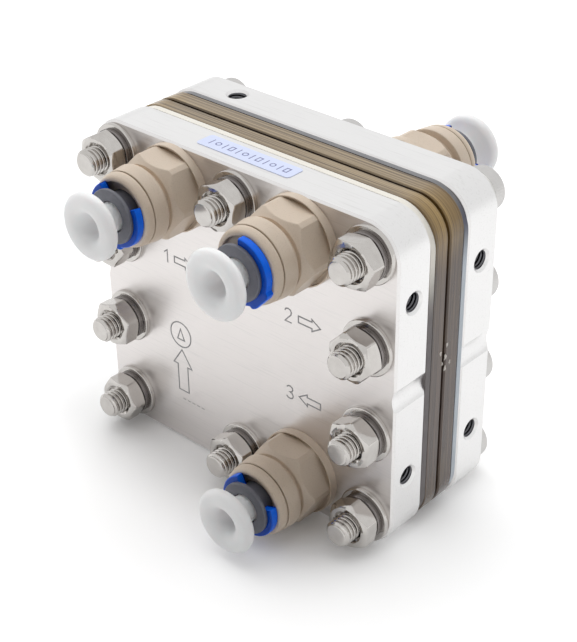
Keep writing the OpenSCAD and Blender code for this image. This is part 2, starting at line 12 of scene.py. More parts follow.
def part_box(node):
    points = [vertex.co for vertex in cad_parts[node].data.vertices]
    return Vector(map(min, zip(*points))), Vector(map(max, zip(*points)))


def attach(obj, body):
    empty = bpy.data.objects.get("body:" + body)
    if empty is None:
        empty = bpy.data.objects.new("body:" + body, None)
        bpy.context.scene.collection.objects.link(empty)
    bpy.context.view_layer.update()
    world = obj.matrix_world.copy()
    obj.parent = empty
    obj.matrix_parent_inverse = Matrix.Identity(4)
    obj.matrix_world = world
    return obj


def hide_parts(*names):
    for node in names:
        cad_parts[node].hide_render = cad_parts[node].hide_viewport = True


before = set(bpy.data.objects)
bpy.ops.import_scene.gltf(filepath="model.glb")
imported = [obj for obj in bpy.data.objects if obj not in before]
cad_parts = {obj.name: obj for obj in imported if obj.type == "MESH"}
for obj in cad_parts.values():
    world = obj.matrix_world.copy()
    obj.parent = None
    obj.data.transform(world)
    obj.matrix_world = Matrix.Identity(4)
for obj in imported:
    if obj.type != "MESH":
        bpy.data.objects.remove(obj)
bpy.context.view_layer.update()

MM = 0.001
TAU = 2 * math.pi
SIXTH = TAU / 6
TWELFTH = TAU / 12

# Camera, as fitted to the photograph: image width and focal length in pixels, places in metres
IMAGE_W = 577
FOCAL_PX = 1481.3
SENSOR_W = 36.0
CLIP_NEAR = 0.01
CAMERA_AT = Vector((0.1901, -0.2078, 0.2076))
CAMERA_RIGHT = Vector((0.74173, 0.67059, -0.01240))
CAMERA_DOWN = Vector((0.34549, -0.39787, -0.84990))

# Tie bolt; head, rear washer and collar as measured in the photograph, lower than in the CAD model
THREAD_R = 3.0
THREAD_PITCH = 1.0
THREAD_DEPTH = 0.55
# Crest and flank as shares of half a pitch
THREAD_CREST = 0.12
THREAD_FLANK = 0.72
CUT_LENGTH = 4.6
SHANK_R = THREAD_R - 0.1
BOLT_END = 9.8
END_FACE_RADII = (0.02, 1.2, 2.1)
END_CHAMFER = 0.62
END_SLOPE = 1.15
END_EDGE = 0.12
BOLT_TURN = 77
HEAD_R = 5.0
HEAD_H = 3.2
KNURL_TEETH = 54
KNURL_DEPTH = 0.09
SOCKET_R = 2.5
SOCKET_DEPTH = 1.9
REAR_WASHER_T = 0.8
COLLAR_R = 5.3
COLLAR_T = 1.4
SLEEVE_WALL = 0.25

# Nut, spring washer and flat washer
WASHER_R = 6.25
WASHER_T = 1.0
WASHER_GAP = 0.2
SPRING_R = 5.2
SPRING_T = 1.1
SPRING_EDGE = 0.22
# Half the split's width, in radians
SPRING_GAP = 0.085
NUT_AF = 10.0
NUT_H = 4.2
NUT_FACE_R = 4.7
NUT_CHAMFER = 0.7
NUT_EDGE = 0.14
NUT_CORNER = 0.1
COUNTERSINK_R = 3.8
COUNTERSINK_DEPTH = 1.0
# Turns in degrees, one for each bolt in the order of BOLT_PLACES
NUT_TURNS = (58, 79, 51, 90, 84, 85, 47, 67, 89, 83)
SPRING_TURNS = (150, 175, 140, 200, 215, 160, 235, 190, 170, 205)

# Tapped holes in the plates' edges; side holes stand SIDE_HOLE_REACH above and below the middle
TAP_R = 2.1
TAP_PITCH = 0.8
TAP_RIDGE = 0.22
TAP_LEAD_IN = 0.55
TAP_CUT = 7.0
SIDE_HOLE_REACH = 21
TOP_HOLE_X = -25.3


def corners_of(node):
    """Lowest and highest corner of a CAD node's box."""
    low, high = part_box(node)
    return Vector(low), Vector(high)


front_low, front_high = corners_of("front_end_plate")
rear_low, rear_high = corners_of("rear_end_plate")
Y_FRONT = front_low.y
Y_BACK = rear_high.y
PLATE_TOP = front_high.z
PLATE_SIDE = front_high.x
STACK_T = (Y_BACK - Y_FRONT) / MM
# Heights along a bolt, from the front plate's face
HEAD_START = -(STACK_T + COLLAR_T + REAR_WASHER_T)
HEAD_FACE = HEAD_START - HEAD_H


# Mesh helpers

# Most that one fillet takes of an edge
FILLET_SHARE = 0.48


def add_mesh(name, shape, material, smooth_angle, matrix):
    """A new piece from (vertices in millimetres, faces), placed by matrix and riding on the root body."""
    verts, faces = shape
    mesh = bpy.data.meshes.new(name)
    mesh.from_pydata([Vector(v) * MM for v in verts], [], faces)
    mesh.transform(matrix)
    mesh.validate()
    mesh.update()
    mesh.shade_smooth()
    mesh.set_sharp_from_angle(angle=math.radians(smooth_angle))
    mesh.materials.append(material)
    piece = bpy.data.objects.new(name, mesh)
    bpy.context.collection.objects.link(piece)
    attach(piece, "root")
    return piece


def skin(rings, closed=False, cap_start=False, cap_end=False):
    """Vertices and faces of a tube through rings of equal length; closed joins the last to the first."""
    count = len(rings[0])
    verts = [v for ring in rings for v in ring]
    faces = []
    pairs = [(i, i + 1) for i in range(len(rings) - 1)]
    if closed:
        pairs.append((len(rings) - 1, 0))
    for low, high in pairs:
        for k in range(count):
            after = (k + 1) % count
            faces.append((low * count + k, low * count + after, high * count + after, high * count + k))
    if cap_start:
        faces.append(tuple(range(count - 1, -1, -1)))
    if cap_end:
        top = (len(rings) - 1) * count
        faces.append(tuple(range(top, top + count)))
    return verts, faces


def polar(radius, angle, height):
    """Point at a radius and an angle around Z."""
    return radius * math.cos(angle), radius * math.sin(angle), height


def circle_ring(radius, height, count):
    """Ring of one radius around Z."""
    return [polar(radius, TAU * k / count, height) for k in range(count)]


def fillet(corners, steps=4):
    """Path through (radius, height, fillet) corners with each corner rounded by its fillet."""
    path = []
    for i, (r, s, size) in enumerate(corners):
        if size <= 0 or i in (0, len(corners) - 1):
            path.append((r, s))
            continue
        here = Vector((r, s))
        before = Vector(corners[i - 1][:2]) - here
        after = Vector(corners[i + 1][:2]) - here
        reach = min(size, before.length * FILLET_SHARE, after.length * FILLET_SHARE)
        start = here + before.normalized() * reach
        end = here + after.normalized() * reach
        for j in range(steps + 1):
            t = j / steps
            path.append(tuple((1 - t) ** 2 * start + 2 * t * (1 - t) * here + t * t * end))
    return path


def revolve(path, count=96):
    """Rings for a (radius, height) path."""
    return [circle_ring(r, s, count) for r, s in path]


def hex_radius(angle, half_flats, rounding):
    """Radius of a hexagon with slightly rounded corners at an angle from one of its corners."""
    from_flat = (angle % SIXTH) - TWELFTH
    sharp = half_flats / math.cos(from_flat)
    limit = half_flats / math.cos(TWELFTH) - rounding
    return soft_min(sharp, limit, rounding)


def soft_min(a, b, width):
    """The smaller of two lengths, with a rounded change over between them."""
    if width <= 0:
        return min(a, b)
    h = max(width - abs(a - b), 0) / width
    return min(a, b) - h * h * width / 4


def smooth_step(share):
    """Rises from 0 to 1 with a level start and end, as share goes from 0 to 1."""
    share = min(max(share, 0), 1)
    return share * share * (3 - 2 * share)


def outwards(x, z, front=True):
    """Matrix that puts a piece drawn along +Z on a plate's face, pointing away from it."""
    turn = Matrix.Rotation(math.radians(90 if front else -90), 4, "X")
    return Matrix.Translation((x, Y_FRONT if front else Y_BACK, z)) @ turn


# Material helpers

class Shader:
    """Small builder for a node material around one Principled shader."""

    def __init__(self, name, **inputs):
        self.material = bpy.data.materials.new(name)
        self.material.use_nodes = True
        self.tree = self.material.node_tree
        self.shader = self.tree.nodes["Principled BSDF"]
        for key, value in inputs.items():
            self.set(key.replace("_", " "), value)

    def set(self, socket, value):
        found = next(s for s in self.shader.inputs if s.name.lower() == socket.lower())
        if isinstance(value, (tuple, list)) and len(value) == 3 and found.type == "RGBA":
            value = (*value, 1.0)
        found.default_value = value

    def node(self, kind, **values):
        made = self.tree.nodes.new(kind)
        for key, value in values.items():
            if hasattr(made, key):
                setattr(made, key, value)
            else:
                made.inputs[key].default_value = value
        return made

    def link(self, source, target):
        self.tree.links.new(source, target)

    def place(self, scale=(1, 1, 1)):
        """Object coordinates with a scale of their own."""
        coords = self.node("ShaderNodeTexCoord")
        mapping = self.node("ShaderNodeMapping")
        mapping.inputs["Scale"].default_value = scale
        self.link(coords.outputs["Object"], mapping.inputs["Vector"])
        return mapping.outputs["Vector"]

    def noise(self, scale, detail=3.0, rough=0.5):
        """Noise of scale waves to the metre along each axis."""
        texture = self.node("ShaderNodeTexNoise")
        texture.inputs["Scale"].default_value = 1.0
        texture.inputs["Detail"].default_value = detail
        texture.inputs["Roughness"].default_value = rough
        self.link(self.place(scale), texture.inputs["Vector"])
        return texture.outputs["Fac"]

    def spread(self, value, low, high, out_low, out_high):
        """Maps one range of a value to another."""
        mapped = self.node("ShaderNodeMapRange")
        self.link(value, mapped.inputs["Value"])
        numbers = {"From Min": low, "From Max": high, "To Min": out_low, "To Max": out_high}
        for name, number in numbers.items():
            mapped.inputs[name].default_value = number
        return mapped.outputs["Result"]

    def blend(self, factor, first, second):
        """Colour mix of two colours or sockets."""
        mix = self.node("ShaderNodeMix", data_type="RGBA")
        self.link(factor, mix.inputs["Factor"])
        for socket, value in ((mix.inputs[6], first), (mix.inputs[7], second)):
            if isinstance(value, tuple):
                socket.default_value = (*value, 1.0)
            else:
                self.link(value, socket)
        return mix.outputs[2]

    def axis(self, name, low, high):
        """Rises smoothly from 0 to 1 as one coordinate's size goes from low to high, in millimetres."""
        parts = self.node("ShaderNodeSeparateXYZ")
        self.link(self.place(), parts.inputs["Vector"])
        size = self.node("ShaderNodeMath", operation="ABSOLUTE")
        self.link(parts.outputs[name], size.inputs[0])
        rise = self.spread(size.outputs["Value"], low * MM, high * MM, 0, 1)
        rise.node.interpolation_type = "SMOOTHSTEP"
        return rise

    def facing(self, name, low, high):
        """Rises from 0 to 1 as one part of the surface's normal goes from low to high."""
        parts = self.node("ShaderNodeSeparateXYZ")
        geometry = self.node("ShaderNodeNewGeometry")
        self.link(geometry.outputs["Normal"], parts.inputs["Vector"])
        return self.spread(parts.outputs[name], low, high, 0, 1)

    def times(self, first, second):
        """Product of two sockets."""
        made = self.node("ShaderNodeMath", operation="MULTIPLY")
        self.link(first, made.inputs[0])
        self.link(second, made.inputs[1])
        return made.outputs["Value"]

    def bump(self, height, strength, distance_mm, before=None):
        """Normal from a height, on top of the normal before it."""
        made = self.node("ShaderNodeBump")
        made.inputs["Strength"].default_value = strength
        made.inputs["Distance"].default_value = distance_mm * MM
        self.link(height, made.inputs["Height"])
        if before is not None:
            self.link(before, made.inputs["Normal"])
        return made.outputs["Normal"]

    def use(self, socket, value):
        self.link(value, self.shader.inputs[socket])


def plate_material():
    """Brushed and clear-anodised aluminium, its grain along X, with its front face painted warmer and darker
    than its tops and sides as painted shade.
    """
    s = Shader("satin_aluminium", Metallic=1.0)
    grain = s.noise((90, 2600, 2600), detail=2)
    cloud = s.noise((40, 40, 40), detail=3)
    # The front face's darker, warmer tone is painted shade, chosen by which way the surface faces
    front = s.blend(cloud, (0.69, 0.66, 0.645), (0.74, 0.71, 0.695))
    edges = s.blend(cloud, (0.73, 0.726, 0.724), (0.785, 0.781, 0.778))
    base = s.blend(s.facing("Y", -0.9, -0.6), front, edges)
    s.use("Base Color", s.blend(s.spread(grain, 0.25, 0.45, 0.35, 0), base, (0.55, 0.54, 0.53)))
    s.use("Roughness", s.spread(grain, 0.3, 0.7, 0.29, 0.38))
    fine = s.noise((5200, 5200, 5200), detail=2)
    normal = s.bump(grain, 0.25, 0.02)
    s.use("Normal", s.bump(fine, 0.12, 0.01, normal))
    return s.material


def steel_material():
    """Polished stainless steel with faint turning and handling marks."""
    s = Shader("polished_stainless", Metallic=1.0)
    smear = s.noise((600, 600, 600), detail=4)
    s.use("Base Color", s.blend(smear, (0.46, 0.438, 0.417), (0.59, 0.57, 0.546)))
    s.use("Roughness", s.spread(smear, 0.3, 0.7, 0.07, 0.16))
    s.use("Normal", s.bump(s.noise((2500, 2500, 2500)), 0.10, 0.02))
    return s.material


def dull_steel_material():
    """Cold-formed stainless steel of the bolt heads, less polished than the nuts."""
    s = Shader("dull_stainless", Metallic=1.0)
    cloud = s.noise((500, 500, 500), detail=3)
    s.use("Base Color", s.blend(cloud, (0.52, 0.51, 0.50), (0.62, 0.61, 0.60)))
    s.use("Roughness", s.spread(cloud, 0.3, 0.7, 0.36, 0.48))
    return s.material


def fitting_material():
    """Moulded beige polyester with fine flecks."""
    s = Shader("beige_moulding", Roughness=0.36)
    cloud = s.noise((120, 120, 120), detail=2)
    fleck = s.noise((3500, 3500, 3500), detail=1)
    base = s.blend(cloud, (0.615, 0.505, 0.395), (0.68, 0.568, 0.457))
    s.use("Base Color", s.blend(s.spread(fleck, 0.55, 0.75, 0, 0.35), base, (0.48, 0.395, 0.30)))
    s.use("Normal", s.bump(fleck, 0.08, 0.02))
    s.set("Subsurface Weight", 0.05)
    s.set("Subsurface Radius", (0.6 * MM, 0.4 * MM, 0.3 * MM))
    return s.material


def collet_material():
    """Dark grey moulding of the collets."""
    s = Shader("dark_grey_moulding", Roughness=0.38)
    cloud = s.noise((900, 900, 900), detail=2)
    s.use("Base Color", s.blend(cloud, (0.115, 0.118, 0.14), (0.155, 0.158, 0.185)))
    s.use("Normal", s.bump(cloud, 0.06, 0.02))
    return s.material


def clip_material():
    """Blue moulding of the clips, painted lighter on its walls than on its face: painted highlight on the
    walls, painted shade on the face.
    """
    s = Shader("blue_moulding", Roughness=0.28)
    cloud = s.noise((500, 500, 500), detail=2)
    # The darker face tone is painted shade and the lighter wall tone a painted highlight, chosen by which way
    # the surface faces
    face = s.blend(cloud, (0.0, 0.055, 0.42), (0.0, 0.075, 0.52))
    lit_wall_colour = s.blend(cloud, (0.0, 0.115, 0.76), (0.0, 0.155, 0.92))
    s.use("Base Color", s.blend(s.facing("Y", -0.95, -0.5), face, lit_wall_colour))
    s.use("Normal", s.bump(cloud, 0.05, 0.02))
    s.set("Specular IOR Level", 0.18)
    return s.material


def plug_material():
    """White, slightly translucent plastic."""
    s = Shader("white_plug_plastic", Roughness=0.34)
    s.set("Subsurface Weight", 1.0)
    s.set("Subsurface Radius", (4.2 * MM, 3.8 * MM, 3.8 * MM))
    s.set("Subsurface Scale", 1.0)
    cloud = s.noise((300, 300, 300), detail=2)
    s.use("Base Color", s.blend(cloud, (0.955, 0.945, 0.95), (0.985, 0.98, 0.98)))
    s.use("Normal", s.bump(cloud, 0.04, 0.05))
    return s.material


def frame_material():
    """Amber moulding, lined along the stack's edge: dark on its side, its top painted lighter as painted
    light, golden at the top corners as painted light shining through.
    """
    s = Shader("amber_moulding", Roughness=0.22)
    lines = s.noise((14, 1900, 14), detail=3, rough=0.6)
    slow = s.noise((60, 300, 60), detail=2)
    strong = s.spread(lines, 0.35, 0.68, 0, 1)
    # Side and top tones: the lighter top is painted light, chosen by which way the surface faces
    side = s.blend(strong, (0.030, 0.019, 0.016), (0.135, 0.088, 0.066))
    top = s.blend(strong, (0.095, 0.062, 0.030), (0.42, 0.31, 0.17))
    base = s.blend(s.facing("Z", 0.3, 0.8), side, top)
    base = s.blend(s.spread(slow, 0.45, 0.75, 0, 0.5), base, (0.16, 0.105, 0.05))
    # The golden tone at the top corners is painted light shining through the amber
    painted_glow_gold = s.blend(strong, (0.13, 0.072, 0.018), (0.43, 0.28, 0.09))
    corner = s.times(s.axis("X", 29, 41), s.axis("Z", 60, 75))
    s.use("Base Color", s.blend(corner, base, painted_glow_gold))
    s.use("Normal", s.bump(lines, 0.25, 0.04))
    s.set("Coat Weight", 0.15)
    s.set("Coat Roughness", 0.15)
    return s.material


def rear_sheet_material():
    """Glossy bluish sheet: pale at the side, with painted shade near its top and where its edge faces up."""
    s = Shader("blue_grey_sheet", Roughness=0.3)
    cloud = s.noise((300, 300, 300), detail=3)
    side = s.blend(cloud, (0.46, 0.52, 0.58), (0.54, 0.60, 0.66))
    # The dark tone of the up-facing edge is painted shade
    top = s.blend(cloud, (0.13, 0.13, 0.14), (0.20, 0.20, 0.21))
    # Navy near the top corner is painted shade in the gap beside the plate
    side = s.blend(s.axis("Z", 60, 72), side, (0.05, 0.05, 0.09))
    s.use("Base Color", s.blend(s.facing("Z", 0.3, 0.8), side, top))
    s.use("Normal", s.bump(cloud, 0.08, 0.03))
    return s.material


def front_sheet_material():
    """Cream sheet, dark along the lower part of its side."""
    s = Shader("cream_sheet", Roughness=0.5)
    cloud = s.noise((300, 300, 300), detail=3)
    cream_upper_tone = s.blend(cloud, (0.80, 0.76, 0.68), (0.86, 0.83, 0.76))
    dark_lower_tone = s.blend(cloud, (0.09, 0.078, 0.080), (0.17, 0.15, 0.15))
    # The dark tone covers the lower part of the side
    s.use("Base Color", s.blend(s.axis("Z", 52, 68), dark_lower_tone, cream_upper_tone))
    s.use("Normal", s.bump(cloud, 0.08, 0.03))
    return s.material


def plain_material(name, colour, second, roughness, scale=300, metallic=0.0):
    """Plain material of two close tones with a little bump."""
    s = Shader(name, Roughness=roughness, Metallic=metallic)
    cloud = s.noise((scale, scale, scale), detail=3)
    s.use("Base Color", s.blend(cloud, colour, second))
    s.use("Normal", s.bump(cloud, 0.08, 0.03))
    return s.material


aluminium = plate_material()
steel = steel_material()
dull_steel = dull_steel_material()
beige = fitting_material()
dark_grey = collet_material()
blue = clip_material()
white = plug_material()
amber = frame_material()
# The thread's dark colour is painted shade inside the tapped holes
hole_shade_metal = plain_material("painted_shade_thread", (0.10, 0.10, 0.11), (0.16, 0.16, 0.17), 0.3, metallic=1.0)
rubber = plain_material("black_rubber", (0.02, 0.02, 0.02), (0.035, 0.035, 0.035), 0.55)
cream_sheet = front_sheet_material()
grey_sheet = rear_sheet_material()
# The spring washers' dark tone is painted shade between nut and flat washer
spring_shade_steel = plain_material("painted_shade_spring_steel", (0.17, 0.155, 0.15), (0.27, 0.25, 0.245), 0.22,
                            metallic=1.0)
glue = plain_material("dried_glue", (0.55, 0.50, 0.44), (0.74, 0.70, 0.64), 0.35)
ivory = plain_material("ivory_bush", (0.72, 0.71, 0.67), (0.80, 0.79, 0.75), 0.45)
titanium = plain_material("machined_titanium", (0.42, 0.41, 0.39), (0.5, 0.49, 0.47), 0.35, metallic=1.0)
carbon = plain_material("carbon_paper", (0.03, 0.03, 0.032), (0.06, 0.06, 0.062), 0.7, scale=4000)
sinter = plain_material("sintered_titanium", (0.30, 0.29, 0.27), (0.42, 0.41, 0.39), 0.6, 4000, 1.0)
engraving = plain_material("engraved_mark", (0.30, 0.30, 0.31), (0.38, 0.38, 0.39), 0.6)
faint_mark = plain_material("faint_mark", (0.42, 0.41, 0.41), (0.48, 0.47, 0.47), 0.6)
label_paper = plain_material("label_paper", (0.64, 0.70, 0.93), (0.70, 0.76, 0.95), 0.6)
label_ink = plain_material("label_ink", (0.12, 0.13, 0.30), (0.20, 0.21, 0.40), 0.6)

NODE_MATERIALS = {
    "front_end_plate": aluminium, "rear_end_plate": aluminium,
    "front_sheet": cream_sheet, "rear_sheet": grey_sheet,
    "front_frame": amber, "rear_frame": amber,
    "front_seal": rubber, "rear_seal": rubber, "membrane": rubber,
    "front_flow_plate": titanium, "rear_flow_plate": titanium,
    "front_transport_layer": carbon, "rear_transport_layer": sinter,
    "insulating_bushes": ivory, "port_o_rings": rubber, "tube_o_rings": rubber,
    "tie_bolts": steel, "rear_washers": dull_steel, "front_washers": steel, "spring_washers": spring_shade_steel,
    "tie_nuts": steel, "paper_label": label_paper,
}


def node_material(name):
    """Material for a CAD node, by its name."""
    if name in NODE_MATERIALS:
        return NODE_MATERIALS[name]
    for ending, material in (("fitting_body", beige), ("fitting_cap", beige), ("collet", dark_grey),
                             ("clip", blue), ("plug", white)):
        if name.endswith(ending):
            return material
    return ivory


for name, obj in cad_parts.items():
    obj.data.materials.clear()
    obj.data.materials.append(node_material(name))


# Places of the bolts, read from the bolts' own box

bolts_low, bolts_high = corners_of("tie_bolts")
BOLT_X = bolts_high.x - HEAD_R * MM
BOLT_Z_LOW = bolts_low.z + HEAD_R * MM
BOLT_Z_HIGH = bolts_high.z - HEAD_R * MM
ROWS = 4
BOLT_PITCH = (BOLT_Z_HIGH - BOLT_Z_LOW) / (ROWS - 1)
BOLT_PLACES = [(side * BOLT_X, BOLT_Z_LOW + row * BOLT_PITCH) for side in (-1, 1) for row in range(ROWS)]
BOLT_PLACES += [(0, BOLT_Z_LOW), (0, BOLT_Z_HIGH)]


# Tie bolts: cut thread at the front end, knurled socket head at the rear

def thread_radius(angle, height):
    """Radius of a bolt's thread, with a narrow crest and a rounded root."""
    phase = (height / THREAD_PITCH - angle / TAU) % 1.0
    rise = abs(phase - 0.5) * 2
    return THREAD_R - THREAD_DEPTH * (1 - smooth_step((rise - THREAD_CREST) / THREAD_FLANK))


def bolt_mesh(turn):
    """Bolt from its end face back to its head; height 0 is the front plate's face."""
    count = 64
    rows = 78
    rings = [circle_ring(r, BOLT_END, count) for r in END_FACE_RADII]
    for i in range(rows + 1):
        height = BOLT_END - CUT_LENGTH * i / rows
        ring = []
        for k in range(count):
            angle = TAU * k / count
            limit = THREAD_R - END_CHAMFER + (BOLT_END - height) * END_SLOPE
            radius = soft_min(thread_radius(angle + turn, height), limit, END_EDGE)
            ring.append(polar(radius, angle, height))
        rings.append(ring)
    shank = [(SHANK_R, BOLT_END - CUT_LENGTH - 0.2), (SHANK_R, HEAD_START)]
    rings += revolve(shank, count)
    return skin(rings, cap_start=True, cap_end=True)


def head_mesh(turn):
    """Knurled cylinder head with a hexagon socket and a turned rim."""
    count = 216
    rings = []

    def ring(radius, height, knurl=0.0, hexagon=False):
        points = []
        for k in range(count):
            angle = TAU * k / count
            wave = abs((k * KNURL_TEETH / count) % 1.0 - 0.5) * 2
            r = radius - knurl * wave
            if hexagon:
                r = hex_radius(angle + turn, radius, 0.08)
            points.append(polar(r, angle, height))
        rings.append(points)

    ring(SHANK_R, HEAD_START)
    ring(HEAD_R - 0.35, HEAD_START)
    ring(HEAD_R - 0.08, HEAD_START - 0.2)
    ring(HEAD_R, HEAD_START - 0.5, KNURL_DEPTH)
    ring(HEAD_R, HEAD_FACE + 0.9, KNURL_DEPTH)
    ring(HEAD_R - 0.05, HEAD_FACE + 0.6)
    ring(HEAD_R - 0.12, HEAD_FACE + 0.35)
    ring(HEAD_R - 0.5, HEAD_FACE)
    ring(SOCKET_R * 1.22, HEAD_FACE)
    ring(SOCKET_R * 1.16, HEAD_FACE + 0.15)
    ring(SOCKET_R, HEAD_FACE + 0.4, hexagon=True)
    ring(SOCKET_R, HEAD_FACE + SOCKET_DEPTH, hexagon=True)
    ring(SOCKET_R * 0.9, HEAD_FACE + SOCKET_DEPTH)
    ring(0.3, HEAD_FACE + SOCKET_DEPTH + 0.8)
    return skin(rings, cap_start=True, cap_end=True)


def make_bolts():
    """Ten bolts, each turned a little further than the last."""
    for i, (x, z) in enumerate(BOLT_PLACES):
        turn = math.radians(BOLT_TURN * i)
        place = outwards(x, z)
        shank = add_mesh(f"tie_bolt_thread_{i + 1}", bolt_mesh(turn), steel, 50, place)
        head = add_mesh(f"tie_bolt_head_{i + 1}", head_mesh(turn), dull_steel, 30, place)
        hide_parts("tie_bolts")
        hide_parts("tie_bolts")


# Nuts, spring washers and flat washers

def nut_mesh():
    """Chamfered hexagon nut with a countersunk thread; height 0 is its seat."""
    count = 180
    half = NUT_AF / 2
    slope = NUT_CHAMFER / (half / math.cos(TWELFTH) - NUT_FACE_R)

    def hexagon(on_top, inset, shift):
        points = []
        for k in range(count):
            angle = TAU * k / count
            radius = hex_radius(angle, half, NUT_CORNER) - inset
            drop = max(radius - NUT_FACE_R, 0) * slope
            height = NUT_H - drop if on_top else drop
            points.append(polar(radius, angle, height + shift))
        return points

    bore_r = THREAD_R - 0.25
    flat_r = NUT_FACE_R - 0.15
    seat = ((bore_r, COUNTERSINK_DEPTH), (COUNTERSINK_R, 0.0), (flat_r, 0.0))
    top = ((flat_r, NUT_H), (COUNTERSINK_R, NUT_H), (bore_r, NUT_H - COUNTERSINK_DEPTH))
    rings = revolve(seat, count)
    rings += [hexagon(False, NUT_EDGE, 0), hexagon(False, 0, NUT_EDGE)]
    rings += [hexagon(True, 0, -NUT_EDGE), hexagon(True, NUT_EDGE, 0)]
    rings += revolve(top, count)
    return skin(rings, closed=True)


def spring_mesh():
    """Split ring of rounded square section with its ends a little apart."""
    steps = 120
    inner = THREAD_R + 0.15
    section = fillet([(inner, 0, 0), (SPRING_R, 0, SPRING_EDGE), (SPRING_R, SPRING_T, SPRING_EDGE),
                      (inner, SPRING_T, SPRING_EDGE), (inner, 0, 0)])[:-1]
    rings = []
    for i in range(steps + 1):
        angle = SPRING_GAP + (TAU - 2 * SPRING_GAP) * (i / steps)
        rings.append([polar(r, angle, s) for r, s in section])
    return skin(rings, cap_start=True, cap_end=True)


def washer_mesh(outer, thickness):
    """Stamped flat washer with one rounded and one sharp edge, just clear of what it lies on."""
    inner = THREAD_R + WASHER_GAP
    lift = 0.02
    path = fillet([(inner, lift, 0), (outer, lift, 0.05), (outer, thickness, 0.3), (inner, thickness, 0.12),
                   (inner, lift, 0)])
    return skin(revolve(path[:-1]), closed=True)


def bush_mesh():
    """Insulating sleeve through the stack with its collar behind the rear plate."""
    inner = THREAD_R + 0.1
    outer = inner + SLEEVE_WALL
    end = -STACK_T - COLLAR_T
    path = fillet([(inner, 0, 0), (outer, 0, 0), (outer, -STACK_T, 0), (COLLAR_R, -STACK_T, 0.1),
                   (COLLAR_R, end, 0.2), (inner, end, 0), (inner, 0, 0)])
    return skin(revolve(path[:-1], 64), closed=True)


def make_nuts_and_washers():
    """Washers, nut and insulating sleeve of each bolt."""
    bush = bush_mesh()
    nut = nut_mesh()
    spring = spring_mesh()
    washer = washer_mesh(WASHER_R, WASHER_T)
    rear = washer_mesh(COLLAR_R, REAR_WASHER_T)
    for i, (x, z) in enumerate(BOLT_PLACES):
        nut_lift = WASHER_T + SPRING_T
        # Name, shape, material, smooth angle, lift, turn and replaced node
        rows = (
            ("front_washer", washer, steel, 30, 0, 0, "front_washers"),
            ("spring_washer", spring, spring_shade_steel, 30, WASHER_T, SPRING_TURNS[i], "spring_washers"),
            ("tie_nut", nut, steel, 24, nut_lift, NUT_TURNS[i], "tie_nuts"),
            ("rear_washer", rear, dull_steel, 30, HEAD_START, 0, "rear_washers"),
        )
        for name, shape, material, angle, lift, turn, node in rows:
            place = outwards(x, z) @ Matrix.Translation((0, 0, lift * MM))
            place = place @ Matrix.Rotation(math.radians(turn), 4, "Z")
            piece = add_mesh(f"{name}_{i + 1}", shape, material, angle, place)
            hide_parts(node)
        sleeve = add_mesh(f"insulating_bush_{i + 1}", bush, ivory, 30, outwards(x, z))
        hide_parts("insulating_bushes")


# Push-in fittings

# Whether on the front plate, then the turn of the hexagon and of the clip's mouth in degrees
PORTS = {
    "upper_left": (True, -8, 74),
    "upper_right": (True, -8, 137),
    "lower": (True, -1, 66),
    "rear": (False, 12, 312),
}
# Radii, and heights from the plate's face, along one fitting
SEAT_R = 7.7
FLANGE_R = 9.8
FLANGE_T = 2.0
HEX_HALF = 8.5
HEX_EDGE = 0.05
HEX_CORNER_R = 9.5
# A radius that no hexagon reaches
WIDE = 99
CONE_END = 8.75
SHOULDER_L = 1.9
SHOULDER_END_R = 7.95
NECK_R = 7.2
NECK_END = 10.0
POCKET_DEPTH = 0.9
POCKET_FALL = 0.6
BARREL_R = 8.6
BARREL_TAPER = 0.3
TAPER_START = 10.8
BARREL_END = 13.6
CAP_START = 13.9
CAP_FACE = 15.9
CAP_R = 8.2
CLIP_START = 15.95
CLIP_T = 1.8
CLIP_R = 7.2
CLIP_MOUTH = 93
CLIP_TAB_W = 6.5
CLIP_TAB_OUT = 0.35
CLIP_ROUND = 0.45
CLIP_ROUND_ANGLE = 0.07
COLLET_R = 4.4
COLLET_GAP = 0.15
COLLET_START = 12.0
COLLET_FLANGE_R = 6.0
COLLET_FLANGE_START = 17.8
COLLET_FACE = 18.7
TUBE_R = 3.175
CAP_RECESS = 1.3
PLUG_START = 6.0
PLUG_END = 25.4
PLUG_BORE_R = 2.1
PLUG_FLOOR = 14.0
PLUG_HEAD_R = 7.45
PLUG_RIM = 2.8
PLUG_FLARE = 1.6
PLUG_CREST_R = 5.0
PLUG_LIP_W = 2.3
PLUG_LIP_DEPTH = 2.2


